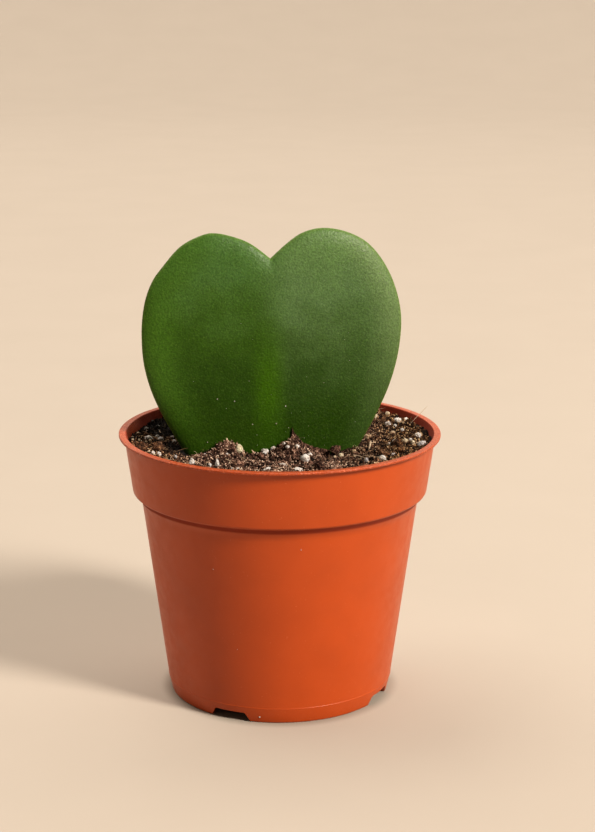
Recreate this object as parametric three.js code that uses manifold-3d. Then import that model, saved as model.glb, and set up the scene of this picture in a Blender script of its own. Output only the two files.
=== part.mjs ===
// A sweetheart hoya: one rooted, heart-shaped leaf standing in a 9 cm nursery pot of peat and perlite.
// Millimetres, +Z up. The origin is the centre of the pot's base, on the surface it stands on,
// and the leaf faces -Y.

import * as THREE from 'three';
import { mergeVertices } from 'three/addons/utils/BufferGeometryUtils.js';
import Module from 'manifold-3d';

const wasm = await Module();
wasm.setup();

// ---- Driving dimensions ----

const CLEARANCE = 0.3; // between pieces that touch

// Pot: a thin moulded cup with a stacking band below its lip.
const POT_SIDES = 72;
const POT_HEIGHT = 75;
const LIP = { outer: 45, inner: 43, thickness: 0.75 };
const BAND = { topRadius: 43.5, bottomRadius: 41.3, bottomZ: 58.7 };
const BODY = { topRadius: 38.9, topZ: 56.6 };
const FOOT = { topRadius: 32, topZ: 4.6, bottomRadius: 30.9, ringWidth: 1.1 };
const WALL = 0.7;
const FLOOR = { topZ: 4.5, thickness: 1 };

// Drain notches through the foot, and the holes in the floor behind them.
const NOTCH = { count: 4, firstAzimuth: -25.6, bottomWidth: 12, topWidth: 9, height: 2.6 };
const NOTCH_REACH = { from: 27, to: 34 };
const DRAIN = { radius: 3, ringRadius: 23.5, sides: 20 };

// Leaf: a thick heart-shaped blade, folded softly along its midrib, on a short buried stalk.
const LEAF_PLACE = { x: -2.5, y: -5.8, turn: 8 };
const HALF_THICKNESS = 2.2;
const MARGIN_WIDTH = 5.5; // the stretch over which the blade rounds off to its edge
const FOLD = { slope: 0.075, softness: 5 };
const BLADE_CENTRE = { across: 0, z: 94 };
const NOTCH_POINT = [0, 124.5];
const BLADE_TIP = [0, 46];
const RIGHT_MARGIN = [
  [4.6, 128.5], [9, 131.3], [14.4, 132.4], [20.6, 131.4], [26.7, 128.4], [31.3, 123.3],
  [34.7, 116.7], [36.7, 108.9], [36.7, 101.2], [35.1, 92.3], [31.7, 83.1], [25, 70.8],
  [15.5, 58], [7.5, 49.8],
];
const LEFT_MARGIN = [
  [-4.8, 128.2], [-8.9, 130.1], [-14.3, 131.4], [-18.3, 131], [-24.2, 128], [-29.1, 122.6],
  [-32.3, 118], [-34.4, 111.8], [-35.2, 103.6], [-34.4, 93.9], [-31, 83.6], [-23.7, 70.2],
  [-15.3, 58], [-7.5, 49.8],
];
const MARGIN_STEPS = 48; // columns of facets on each side of the midrib
const RING_DEPTHS = [0.35, 1.1, 2.4, 4.2, 6.5]; // in from the margin
const RING_SHARES = [0.62, 0.3]; // of the way from the blade's centre to its margin
const STALK = { radius: 1.9, bottomZ: 34, topZ: 56, sides: 16 };

// Soil: a slightly dished surface, banked up against the leaf, with perlite and lumps of peat in it.
const SOIL_LEVEL = 70.3;
const SOIL_RISE = { mean: 2.3, towardBackRight: 0.6 }; // from the middle up to the pot's wall
const SOIL_RINGS = 15;
const BANKS = [
  { x: -13.6, y: -9.8, height: 4, left: 5.4, right: 2.7, through: 5 },
  { x: 3.9, y: -9.4, height: 4.7, left: 5, right: 3.4, through: 4.6 },
  { x: 14.5, y: -8.2, height: -1, left: 4, right: 5, through: 4 },
  { x: -5, y: 2, height: 1.4, left: 9, right: 9, through: 4 },
];
const GRAIN_SINK = 0.35; // share of a grain's radius that its centre lies below the surface
const PLACED_PERLITE = [
  // x, y, radius
  [7.1, -17.1, 1.15], [8.4, -13.2, 0.6], [-10.6, -12.6, 1.2], [-4, -11.6, 1.1], [-1.4, -11.4, 0.7],
  [-23.6, -19.5, 1], [-34.6, -10.1, 0.8], [-32.6, -12.4, 0.75], [-16.6, -22.5, 0.9], [-19, -23.2, 0.7],
  [1.4, -22.1, 0.8], [4.9, -27.5, 1.1], [-3.1, -27.5, 0.7], [28.4, -15.9, 0.9], [39.4, -1, 1.1],
  [39.2, 9.2, 0.8], [31.5, 22.5, 0.9], [26.6, 28, 1], [31, 26, 0.8], [33.4, 13.1, 0.9],
  [32.3, 3, 0.65], [35.7, 3, 0.65], [17, -12.6, 0.7],
];
const PLACED_LUMPS = [[14.8, -10.4, 1.4]];
const SCATTERED_PERLITE = { seed: 8525, count: 44, smallest: 0.55, spread: 0.65 };
const SCATTERED_LUMPS = { seed: 361, count: 60, smallest: 0.7, spread: 0.9 };
const SCATTER_REACH = 40.5;
const SCATTER_SPACING = 0.5;

const COLOURS = { pot: 0xc34b21, leaf: 0x3f5b1e, soil: 0x3a2a20 };

// ---- Small helpers ----

const degrees = THREE.MathUtils.degToRad;

function welded(geometry) {
  geometry.deleteAttribute('normal');
  geometry.deleteAttribute('uv');
  return mergeVertices(geometry, 1e-4);
}

function toSolid(geometry) {
  const merged = welded(geometry);
  return new wasm.Manifold(new wasm.Mesh({
    numProp: 3,
    vertProperties: new Float32Array(merged.attributes.position.array),
    triVerts: new Uint32Array(merged.index.array),
  }));
}

function toGeometry(solid) {
  const mesh = solid.getMesh();
  const geometry = new THREE.BufferGeometry();
  geometry.setAttribute('position', new THREE.BufferAttribute(mesh.vertProperties, 3));
  geometry.setIndex(new THREE.BufferAttribute(mesh.triVerts, 1));
  geometry.computeVertexNormals();
  return geometry;
}

function largestBody(solid) {
  const bodies = solid.decompose();
  bodies.sort((a, b) => b.volume() - a.volume());
  return bodies[0];
}

// A closed skin over rings of points that all have the same count, with one point capping each end.
function loft(startPoint, rings, endPoint) {
  const count = rings[0].length;
  const positions = [startPoint, ...rings.flat(), endPoint].flatMap((p) => [p.x, p.y, p.z]);
  const ringStart = (ring) => 1 + ring * count;
  const last = 1 + rings.length * count;
  const triangles = [];
  for (let k = 0; k < count; k += 1) {
    const next = (k + 1) % count;
    triangles.push(0, ringStart(0) + next, ringStart(0) + k);
    for (let ring = 0; ring + 1 < rings.length; ring += 1) {
      const near = ringStart(ring);
      const far = ringStart(ring + 1);
      triangles.push(near + k, near + next, far + next);
      triangles.push(near + k, far + next, far + k);
    }
    const end = ringStart(rings.length - 1);
    triangles.push(end + k, end + next, last);
  }
  const geometry = new THREE.BufferGeometry();
  geometry.setAttribute('position', new THREE.Float32BufferAttribute(positions, 3));
  geometry.setIndex(triangles);
  return geometry;
}

// The same draws in the same order every time.
function seededRandom(seed) {
  let state = seed;
  return () => {
    state = (Math.imul(state, 1664525) + 1013904223) >>> 0;
    return state / 4294967296;
  };
}

function standUp(geometry) {
  return geometry.rotateX(Math.PI / 2);
}

function material(colour, roughness) {
  return new THREE.MeshStandardMaterial({ color: colour, roughness, metalness: 0 });
}

// ---- Pot ----

const FLOOR_UNDERSIDE = FLOOR.topZ - FLOOR.thickness;
const BAND_INNER_BOTTOM = { radius: BAND.bottomRadius - WALL, z: BAND.bottomZ + WALL };
const BODY_INNER_TOP = { radius: BODY.topRadius - WALL, z: BODY.topZ + WALL };
const BODY_INNER_BOTTOM = { radius: FOOT.topRadius - WALL, z: FLOOR.topZ };

function potShell() {
  const lipUnderside = POT_HEIGHT - LIP.thickness;
  const footInner = FOOT.bottomRadius - FOOT.ringWidth;
  const footInnerTop = footInner + (FOOT.topRadius - FOOT.bottomRadius) * FLOOR_UNDERSIDE / FOOT.topZ;
  const profile = [
    [0, FLOOR_UNDERSIDE],
    [footInnerTop, FLOOR_UNDERSIDE],
    [footInner, 0],
    [FOOT.bottomRadius, 0],
    [FOOT.topRadius, FOOT.topZ],
    [BODY.topRadius, BODY.topZ],
    [BAND.bottomRadius, BAND.bottomZ],
    [BAND.topRadius, lipUnderside],
    [LIP.outer, lipUnderside],
    [LIP.outer, POT_HEIGHT],
    [LIP.inner, POT_HEIGHT],
    [BAND_INNER_BOTTOM.radius, BAND_INNER_BOTTOM.z],
    [BODY_INNER_TOP.radius, BODY_INNER_TOP.z],
    [BODY_INNER_BOTTOM.radius, BODY_INNER_BOTTOM.z],
    [0, FLOOR.topZ],
  ].map(([radius, z]) => new THREE.Vector2(radius, z));
  return toSolid(standUp(new THREE.LatheGeometry(profile, POT_SIDES)));
}

// A trapezoid seen from outside, cut inward through the foot ring.
function footNotch(azimuth) {
  const belowBase = 1;
  const flare = (NOTCH.bottomWidth - NOTCH.topWidth) / 2 / NOTCH.height;
  const bottomHalf = NOTCH.bottomWidth / 2 + flare * belowBase;
  const topHalf = NOTCH.topWidth / 2;
  const outline = new THREE.Shape([
    new THREE.Vector2(-bottomHalf, -belowBase),
    new THREE.Vector2(bottomHalf, -belowBase),
    new THREE.Vector2(topHalf, NOTCH.height),
    new THREE.Vector2(-topHalf, NOTCH.height),
  ]);
  const depth = NOTCH_REACH.to - NOTCH_REACH.from;
  const geometry = new THREE.ExtrudeGeometry(outline, { depth, bevelEnabled: false });
  standUp(geometry);
  geometry.translate(0, -NOTCH_REACH.from, 0);
  geometry.rotateZ(degrees(azimuth));
  return toSolid(geometry);
}

function drainHole(radiusFromAxis, azimuth) {
  const geometry = standUp(new THREE.CylinderGeometry(DRAIN.radius, DRAIN.radius, 4, DRAIN.sides));
  geometry.translate(0, -radiusFromAxis, FLOOR.topZ - FLOOR.thickness / 2);
  geometry.rotateZ(degrees(azimuth));
  return toSolid(geometry);
}

function pot() {
  let solid = potShell().subtract(drainHole(0, 0));
  for (let i = 0; i < NOTCH.count; i += 1) {
    const azimuth = NOTCH.firstAzimuth + (360 / NOTCH.count) * i;
    solid = solid.subtract(footNotch(azimuth)).subtract(drainHole(DRAIN.ringRadius, azimuth));
  }
  const mesh = new THREE.Mesh(toGeometry(solid), material(COLOURS.pot, 0.45));
  mesh.name = 'pot';
  return mesh;
}

// ---- Leaf, in its own frame: x across the blade, y through it, z up ----

function marginCurve(knots) {
  const points = [NOTCH_POINT, ...knots, BLADE_TIP].map(([x, z]) => new THREE.Vector2(x, z));
  return new THREE.SplineCurve(points).getSpacedPoints(MARGIN_STEPS);
}

// Once round the blade: down the right side from the notch, and back up the left side.
const MARGIN = [
  ...marginCurve(RIGHT_MARGIN),
  ...marginCurve(LEFT_MARGIN).reverse().slice(1, -1),
];

function grownMargin(growth) {
  return MARGIN.map((point, k) => {
    const before = MARGIN[(k + MARGIN.length - 1) % MARGIN.length];
    const after = MARGIN[(k + 1) % MARGIN.length];
    const along = after.clone().sub(before).normalize();
    return new THREE.Vector2(point.x - along.y * growth, point.y + along.x * growth);
  });
}

function distanceToMargin(x, z) {
  let nearest = Infinity;
  for (let k = 0; k < MARGIN.length; k += 1) {
    const from = MARGIN[k];
    const edge = MARGIN[(k + 1) % MARGIN.length].clone().sub(from);
    const share = ((x - from.x) * edge.x + (z - from.y) * edge.y) / edge.lengthSq();
    const held = THREE.MathUtils.clamp(share, 0, 1);
    const gap = Math.hypot(x - from.x - edge.x * held, z - from.y - edge.y * held);
    nearest = Math.min(nearest, gap);
  }
  return nearest;
}

// Quarter of an ellipse from the edge to the full thickness.
function halfThickness(x, z) {
  const depth = Math.min(distanceToMargin(x, z) / MARGIN_WIDTH, 1);
  return HALF_THICKNESS * Math.sqrt(1 - (1 - depth) ** 2);
}

// The two halves of the blade lean back from the midrib like a book laid face down.
function foldDepth(x) {
  return FOLD.slope * (Math.hypot(x, FOLD.softness) - FOLD.softness);
}

function bladeRing(margin, share, depth, side, growth) {
  return margin.map((edge, k) => {
    const original = MARGIN[k];
    const toCentreX = BLADE_CENTRE.across - original.x;
    const toCentreZ = BLADE_CENTRE.z - original.y;
    const length = Math.hypot(toCentreX, toCentreZ);
    const inward = depth === null ? 1 - share : depth / length;
    const x = edge.x + toCentreX * inward;
    const z = edge.y + toCentreZ * inward;
    const thickness = halfThickness(original.x + toCentreX * inward, original.y + toCentreZ * inward);
    return new THREE.Vector3(x, foldDepth(x) + side * (thickness + growth), z);
  });
}

function blade(growth) {
  const margin = grownMargin(growth);
  const face = (side) => [
    ...RING_SHARES.map((share) => bladeRing(margin, share, null, side, growth)).reverse(),
    ...RING_DEPTHS.map((depth) => bladeRing(margin, 0, depth, side, growth)).reverse(),
  ];
  const middle = (side) => new THREE.Vector3(0, side * (HALF_THICKNESS + growth), BLADE_CENTRE.z);
  const edge = margin.map((point) => new THREE.Vector3(point.x, foldDepth(point.x), point.y));
  return toSolid(loft(middle(-1), [...face(-1), edge, ...face(1).reverse()], middle(1)));
}

function stalk(growth) {
  const radius = STALK.radius + growth;
  const bottom = STALK.bottomZ - growth;
  const profile = [
    [0, bottom],
    [radius * 0.7, bottom + 0.3],
    [radius, bottom + 1.4],
    [radius, STALK.topZ - 2],
    [0, STALK.topZ],
  ].map(([r, z]) => new THREE.Vector2(r, z));
  return toSolid(standUp(new THREE.LatheGeometry(profile, STALK.sides)));
}

// The whole leaf where it stands, or a larger copy of it that leaves room round the leaf.
function leafSolid(growth) {
  return blade(growth).add(stalk(growth))
    .rotate([0, 0, LEAF_PLACE.turn])
    .translate([LEAF_PLACE.x, LEAF_PLACE.y, 0]);
}

function leaf() {
  const mesh = new THREE.Mesh(toGeometry(leafSolid(0)), material(COLOURS.leaf, 0.5));
  mesh.name = 'leaf';
  return mesh;
}

// ---- Soil ----

function innerWallRadius(z) {
  const share = (z - BAND_INNER_BOTTOM.z) / (POT_HEIGHT - BAND_INNER_BOTTOM.z);
  return THREE.MathUtils.lerp(BAND_INNER_BOTTOM.radius, LIP.inner, share);
}

function soilHeight(x, y) {
  const reach = Math.hypot(x, y) / LIP.inner;
  const backRight = (x + y) / Math.SQRT2 / LIP.inner;
  let z = SOIL_LEVEL + reach ** 2 * SOIL_RISE.mean + backRight * reach * SOIL_RISE.towardBackRight;
  z += 0.28 * Math.sin(0.9 * x + 0.4 * y) * Math.cos(0.7 * y - 0.3 * x);
  z += 0.14 * Math.sin(2.1 * x - 1.3 * y);
  for (const bank of BANKS) {
    const awayX = (x - bank.x) / (x < bank.x ? bank.left : bank.right);
    const awayY = (y - bank.y) / bank.through;
    z += bank.height * Math.exp(-(awayX ** 2) - awayY ** 2);
  }
  return z;
}

// The surface rings shrink toward a point inside the leaf's slot, so no pole shows.
function soilBed() {
  const level = (radius, z) => Array.from({ length: POT_SIDES }, (_, k) => {
    const angle = (2 * Math.PI * k) / POT_SIDES;
    return new THREE.Vector3(radius * Math.cos(angle), radius * Math.sin(angle), z);
  });
  const onSurface = (x, y) => new THREE.Vector3(x, y, soilHeight(x, y));
  const rim = level(innerWallRadius(SOIL_LEVEL) - CLEARANCE, SOIL_LEVEL);
  const surfaceRing = (share) => rim.map((edge) => onSurface(
    THREE.MathUtils.lerp(LEAF_PLACE.x, edge.x, share),
    THREE.MathUtils.lerp(LEAF_PLACE.y, edge.y, share),
  ));
  const shares = Array.from({ length: SOIL_RINGS }, (_, ring) => 1 - ring / SOIL_RINGS);
  const bottomZ = FLOOR.topZ + CLEARANCE;
  const rings = [
    level(BODY_INNER_BOTTOM.radius - CLEARANCE, bottomZ),
    level(BODY_INNER_TOP.radius - CLEARANCE, BODY_INNER_TOP.z + CLEARANCE / 2),
    level(BAND_INNER_BOTTOM.radius - CLEARANCE, BAND_INNER_BOTTOM.z + CLEARANCE / 2),
    ...shares.map(surfaceRing),
  ];
  return toSolid(loft(new THREE.Vector3(0, 0, bottomZ), rings, onSurface(LEAF_PLACE.x, LEAF_PLACE.y)));
}

function clearOfLeaf(x, y, radius) {
  const turn = degrees(LEAF_PLACE.turn);
  const awayX = x - LEAF_PLACE.x;
  const awayY = y - LEAF_PLACE.y;
  const across = awayX * Math.cos(turn) + awayY * Math.sin(turn);
  const through = awayY * Math.cos(turn) - awayX * Math.sin(turn) - foldDepth(across);
  const reachAcross = 26;
  return Math.abs(across) > reachAcross + radius || Math.abs(through) > HALF_THICKNESS + radius + 0.5;
}

// Grains drawn one after another, each kept only where it stands free of the leaf and the others.
function scatterAmong(taken, { seed, count, smallest, spread }) {
  const random = seededRandom(seed);
  const grains = [];
  while (grains.length < count) {
    const distance = SCATTER_REACH * Math.sqrt(random());
    const angle = 2 * Math.PI * random();
    const radius = smallest + spread * random() ** 2;
    const x = distance * Math.cos(angle);
    const y = distance * Math.sin(angle);
    const isApart = ([otherX, otherY, otherRadius]) => (
      Math.hypot(x - otherX, y - otherY) > radius + otherRadius + SCATTER_SPACING
    );
    if (clearOfLeaf(x, y, radius) && taken.every(isApart) && grains.every(isApart)) {
      grains.push([x, y, radius]);
    }
  }
  return grains;
}

function grain([x, y, radius], k) {
  const geometry = new THREE.IcosahedronGeometry(radius, 0);
  geometry.rotateX(k * 1.1);
  geometry.rotateZ(k * 2.3);
  geometry.scale(1, 0.9, 0.85);
  geometry.translate(x, y, soilHeight(x, y) - GRAIN_SINK * radius);
  return toSolid(geometry);
}

function soil() {
  const placed = [...PLACED_PERLITE, ...PLACED_LUMPS];
  const perlite = scatterAmong(placed, SCATTERED_PERLITE);
  const lumps = scatterAmong([...placed, ...perlite], SCATTERED_LUMPS);
  let solid = soilBed();
  for (const [k, spot] of [...placed, ...perlite, ...lumps].entries()) {
    solid = solid.add(grain(spot, k));
  }
  solid = largestBody(solid.subtract(leafSolid(CLEARANCE)));
  const mesh = new THREE.Mesh(toGeometry(solid), material(COLOURS.soil, 0.95));
  mesh.name = 'soil';
  return mesh;
}

const plant = new THREE.Group();
plant.add(pot(), soil(), leaf());

export default plant;
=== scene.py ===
"""A sweetheart hoya: one rooted heart-shaped leaf in a thin terracotta-coloured nursery pot of peat
and perlite. Lengths are in millimetres until a mesh is made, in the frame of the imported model: the
origin is the centre of the pot's base, +Z is up and the leaf faces -Y."""

import math

import bmesh
import bpy
import numpy as np
from mathutils import Euler, Matrix, Vector, noise


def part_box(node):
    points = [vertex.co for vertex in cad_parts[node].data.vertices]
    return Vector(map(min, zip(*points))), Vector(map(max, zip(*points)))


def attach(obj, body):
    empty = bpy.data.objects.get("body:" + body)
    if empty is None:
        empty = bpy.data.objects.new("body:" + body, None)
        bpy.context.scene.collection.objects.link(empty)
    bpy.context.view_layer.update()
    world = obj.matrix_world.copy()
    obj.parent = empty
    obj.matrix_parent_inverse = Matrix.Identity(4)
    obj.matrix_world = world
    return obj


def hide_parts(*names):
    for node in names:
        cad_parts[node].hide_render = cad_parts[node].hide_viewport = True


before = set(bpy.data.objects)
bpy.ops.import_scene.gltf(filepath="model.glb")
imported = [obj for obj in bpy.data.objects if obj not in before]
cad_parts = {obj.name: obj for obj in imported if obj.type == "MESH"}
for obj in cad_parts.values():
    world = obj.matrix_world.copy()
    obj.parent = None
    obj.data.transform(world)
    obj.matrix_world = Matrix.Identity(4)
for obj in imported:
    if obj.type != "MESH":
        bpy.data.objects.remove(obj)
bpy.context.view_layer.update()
scene = bpy.context.scene

MM = 0.001
POT_BOX = [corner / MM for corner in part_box("pot")]

# ---- Pot ----
POT_HEIGHT = POT_BOX[1].z
LIP_OUTER = POT_BOX[1].x
LIP_INNER = 43.0
LIP_THICKNESS = 0.75
BAND_TOP_RADIUS = 43.5
BAND_BOTTOM_RADIUS = 41.3
BAND_BOTTOM_Z = 58.7
BODY_TOP_RADIUS = 38.9
BODY_TOP_Z = 56.6
FOOT_TOP_RADIUS = 32.0
FOOT_TOP_Z = 4.6
FOOT_BOTTOM_RADIUS = 30.9
FOOT_RING_WIDTH = 1.1
FOOT_LEDGE = 0.05
WALL = 0.7
FLOOR_TOP_Z = 4.5
FLOOR_THICKNESS = 1.0
NOTCH_COUNT = 4
NOTCH_FIRST_AZIMUTH = -25.6
NOTCH_BOTTOM_WIDTH = 12.0
NOTCH_TOP_WIDTH = 9.0
NOTCH_HEIGHT = 2.6
NOTCH_FILLET = 0.5
NOTCH_CUT_INWARD = 4
NOTCH_CUT_OUTWARD = 3
DRAIN_RADIUS = 3.0
DRAIN_RING_RADIUS = 23.5
DRAIN_CUT_SPAN = (1, 7)
DRAIN_SEGMENTS = 48
POT_SEGMENTS = 288
# Painted shade on the inside of the wall above the soil, faded out at the left where light falls on it.
INSIDE_PAINTED_SHADE = 0.85
LIT_WALL_AZIMUTH = -98.0
LIT_WALL_REACH = 13.0

# ---- Leaf ----
LEAF_X = -2.5
LEAF_Y = -5.8
LEAF_TURN = math.radians(8)
HALF_THICKNESS = 2.2
MARGIN_WIDTH = 5.5
FOLD_SLOPE = 0.075
FOLD_SOFTNESS = 3.0
MARGIN_TRIM = 0.001
MARGIN_EASE = 0.45
MARGIN_EASE_WIDTH = 18.0
MARGIN_STEPS = 190
MARGIN_RINGS = 14
RING_STEP = 0.12
RING_GROWTH = 1.36
RING_SHIFT = 0.02
INNER_RINGS = 22
SKIN_INSET = 0.06
SWELL_HEIGHT = 0.12
SWELL_WIDTH = 9
LOBE_LEAN = 1.3
LOBE_LEAN_FROM = 96.0
LOBE_LEAN_HEIGHT = 36.0
# Each lobe's colour by height: darker near the soil, partly painted shade, and paler, greyer higher up
# with painted sheen, most on the right lobe.
LEFT_LOBE_PAINTED_LIGHT_TINTS = {
    75: (42, 68, 4), 90: (40, 68, 5), 102: (50, 80, 13), 114: (62, 93, 35), 128: (70, 103, 51),
}
RIGHT_LOBE_PAINTED_LIGHT_TINTS = {
    75: (36, 62, 0), 90: (45, 71, 20), 102: (64, 89, 44), 114: (79, 105, 63), 128: (86, 114, 66),
}
TINTS_FROM_Z = 70.0
TINTS_HEIGHT = 60.0
BLADE_CENTRE_Z = 94.0
NOTCH_POINT = (0, 124.5)
BLADE_TIP = (0, 46)
RIGHT_MARGIN = [
    (4.6, 128.5), (9, 131.3), (14.4, 132.4), (20.6, 131.4), (26.7, 128.4), (31.3, 123.3),
    (34.7, 116.7), (36.7, 108.9), (36.7, 101.2), (35.1, 92.3), (31.7, 83.1), (25, 70.8),
    (15.5, 58), (7.5, 49.8),
]
LEFT_MARGIN = [
    (-4.8, 128.2), (-8.9, 130.1), (-14.3, 131.4), (-18.3, 131), (-24.2, 128), (-29.1, 122.6),
    (-32.3, 118), (-34.4, 111.8), (-35.2, 103.6), (-34.4, 93.9), (-31, 83.6), (-23.7, 70.2),
    (-15.3, 58), (-7.5, 49.8),
]
STALK_RADIUS = 1.9
STALK_BOTTOM_Z = 34.0
STALK_TOP_Z = 56.0
STALK_SEGMENTS = 32

# ---- Soil ----
SOIL_LEVEL = 70.3
SOIL_RISE = 2.3
SOIL_RISE_BACK_RIGHT = 0.6
BANKS = [
    # x, y, height, spread to the left, to the right and through
    (-13.6, -9.8, 4.0, 5.4, 2.7, 5.0),
    (3.9, -9.4, 4.7, 5.0, 3.4, 4.6),
    (14.5, -8.2, -1.8, 4.0, 7.0, 4.0),
    (-24.6, -10.2, -1.5, 3.2, 2.6, 3.6),
    (-5.0, 2.0, 1.4, 9.0, 9.0, 4.0),
]
BED_DROP = 0.25
BED_BUMPS = [(0.7, 2.6, 1), (0.35, 0.9, 2)]  # height, width, seed
BED_TONE = 0.2
BANK_TONE = 0.09
CRUMB_BANK_TONE = 0.02
CRUMB_RISE = 0.2
PATCHINESS = 0.35
SOIL_GAP = 0.12
LEAF_REACH_IN_SOIL = 26
FULL_TURN = 6.28  # just short of it, in radians
GRAIN_SINK = 0.35
PLACED_PERLITE = {
    # kind: x, y, half its width, half its height
    "round": [(7, -19.1, 1.25, 1.2)],
    "white": [
        (8.3, -13.3, 0.7, 0.7), (-4, -8.9, 1.1, 1.1), (-1.8, -9.2, 0.7, 0.55), (-18.6, -23.4, 0.6, 0.55),
        (-20.4, -12.4, 0.55, 0.4), (-14.3, -15.2, 0.35, 0.35), (-12.5, -27, 0.35, 0.35),
        (-11.1, -27.7, 0.35, 0.35), (-3.4, -27.3, 1.2, 0.55), (-34.6, -14.4, 0.6, 0.6),
        (-32.8, -15.3, 0.55, 0.75), (1.2, -10.4, 0.45, 0.45), (2.2, -12.4, 0.7, 0.4),
        (4.8, -12.5, 0.6, 0.55), (1.1, -23.1, 1, 0.45), (5.2, -28.6, 1.2, 0.6),
        (15.1, -9.6, 0.5, 0.35), (28, -19.6, 0.95, 0.65), (39, 2.3, 1, 0.75), (34.8, 9.9, 0.6, 0.6),
        (34.1, 19.6, 1.15, 0.9), (36.4, 19.6, 0.6, 0.75), (31.1, 16.8, 0.9, 0.9),
        (33, 15.4, 0.5, 0.6), (32.1, -0.7, 0.6, 0.6), (30.6, -1.8, 0.45, 0.45),
        (36.6, -0.9, 0.5, 0.45), (-37.2, 19.8, 0.5, 0.45), (-35.2, 14.5, 0.6, 0.45),
        (-38.2, 10.8, 0.6, 0.6), (-30.6, 5.4, 0.75, 0.6),
    ],
    "cream": [
        (35, -2.3, 0.85, 0.75), (37, -4.9, 0.6, 0.6), (16.9, -13.2, 0.85, 0.8),
        (15.2, -12.9, 0.5, 0.45), (31.4, 27.3, 0.7, 0.6), (27.7, 23.9, 0.7, 0.75),
    ],
    "tan": [
        (19.1, -7.6, 0.45, 0.45), (20.6, -6.8, 0.75, 0.75), (24.6, 4.9, 0.85, 0.85), (32, 8.2, 0.85, 0.75),
    ],
    "yellow": [(-11.1, -11.6, 1.05, 1.4)],
    "pointed": [(-23.5, -22, 1.15, 1.1), (-16.6, -24.2, 0.75, 1.3)],
    "grey": [
        (39.4, -7.0, 1.3, 1.05), (23.6, -20.9, 0.6, 0.75), (31, -15.5, 0.75, 0.45),
        (-28.2, -17.7, 0.45, 0.45), (-33.6, 1.3, 0.85, 0.75),
    ],
}
GRAIN_KINDS = {
    # tone, taper, lift, roughness
    "grey": (0.0, 0, 0.2, 1), "white": (0.33, 0, 0, 1.35), "round": (0.33, 0, 0.5, 0.45),
    "pointed": (0.33, 0.6, 0.4, 1), "cream": (0.6, 0, 0.3, 1), "tan": (0.8, 0, 0, 1),
    "yellow": (1.0, 0, 0.35, 0.8),
}
PALE_CRUMBS = [
    # x, y, half the width, half the height
    (-40.2, 5.4, 0.5, 0.35), (-39.4, -1.2, 0.35, 0.4), (-38.7, -2.4, 0.3, 0.5), (-36.2, -2, 0.4, 0.35),
    (-37.4, -1.8, 0.35, 0.3), (-40.1, 0.4, 0.35, 0.35), (-41.4, 1, 0.4, 0.35), (-41.2, -1.2, 0.4, 0.35),
    (-37.6, -9.2, 0.4, 0.5), (-37, -7.1, 0.35, 0.3), (-35.9, -11.9, 0.35, 0.3),
]
PALE_CRUMB_LIFT = 0.3
PALE_CRUMB_TONE = 0.6
LUMP_BESIDE_LEAF = (15.5, -7.2, 1.5)
LUMP_BESIDE_LEAF_LIFT = 1.8
DUSTED_IN_FRONT_OF = -4.0
DUSTED_RIGHT_OF = 20.0
# Painted shade on the soil where shadows fall: behind the leaf at the left, at its foot, and in a few
# spots at the right and back.
SHADE_SPOTS = [
    # x, y, radius, how dark
    (-31, 15, 13, 0.95), (-28.5, -5.5, 5.5, 0.88), (32, 6, 13, 0.2), (23, -16, 6, 0.5),
    (-25.6, -9.6, 3.0, 0.7), (-22, 32, 12, 0.6),
]
UNEVEN = 0.3
SCATTER_REACH = 40.5
SCATTER_SPACING = 0.5
PERLITE_SCATTER = (8525, 44, 0.55, 0.65)  # seed, count, smallest, spread
LUMP_SCATTER = (361, 60, 0.7, 0.9)
PERLITE_FLATNESS = 0.85
PERLITE_TONE = 0.33
LUMP_TONE = 0.34
LUMP_TONE_SPREAD = 0.3
GOLDEN_SHARE = 0.618
SOIL_REACH = 42.1
GRAIN_SUBDIVISIONS = 3
SANDY_FROM = 15.0
SANDY_SPREAD = 18.0
SANDY_LEFT_FROM = 22.0
SANDY_LEFT_SPREAD = 9.0
SANDY_LEFT_SHARE = 0.8
CRUMB_KINDS = [
    # name, seed, count, smallest, largest, tones (low, high, bias), lift, stretch
    ("peat_crumbs", 11, 5600, 0.26, 0.72, (0.05, 0.6, 1.2), 0.0, (1, 1, 0.85)),
    ("fine_crumbs", 12, 9900, 0.17, 0.34, (0.3, 1.05, 1.0), 0.6, (1, 1, 1)),
    ("dust_crumbs", 14, 7000, 0.12, 0.24, (0.1, 1.1, 1.0), 1.6, (1, 1, 1)),
    ("peat_flakes", 13, 2600, 0.3, 0.75, (0.35, 1.0, 1.0), 0.5, (1.5, 0.45, 0.25)),
]
FIBRE_COUNT = 260
FIBRE_SIDES = 6
FIBRE_LIFT = 0.7
PLACED_FIBRES = [
    # x, y, heading, length, rise, radius, tone
    (-14.6, -19.5, -50, 2.6, -0.1, 0.13, 1.0), (-10.6, -15.6, -62, 3.4, 0.0, 0.1, 1.0),
    (-33.6, 1.3, 160, 2.6, 0.15, 0.09, 0.8), (24.6, -9.3, 10, 0.6, 4.4, 0.34, 1.0),
    (36.5, -8.5, 25, 2.8, 0.3, 0.09, 0.9), (26.5, -18.5, 170, 2.4, 0.1, 0.09, 0.8),
    (37.3, 14.0, 4, 5.0, 1.05, 0.075, 0.95),
]
SLIVER_TOP = [
    # across the leaf, height
    (3.2, 72.6), (4.5, 73.6), (5.3, 74.7), (5.6, 76.0), (5.8, 77.8), (6.1, 76.6), (6.6, 75.8),
    (7.4, 74.9), (8.6, 73.3), (10.7, 72.2), (13.4, 71.4), (16.4, 70.6),
]
SLIVER_PLAIN_ABOVE = 75.0
SLIVER_THICKNESS = 0.3
LEAF_DUST = [
    # across the leaf, height
    (-14.9, 86.1), (-10.2, 85.4), (-5.3, 78.8), (1.3, 78.9), (3.9, 83.7), (-17.7, 73.9),
]
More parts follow.
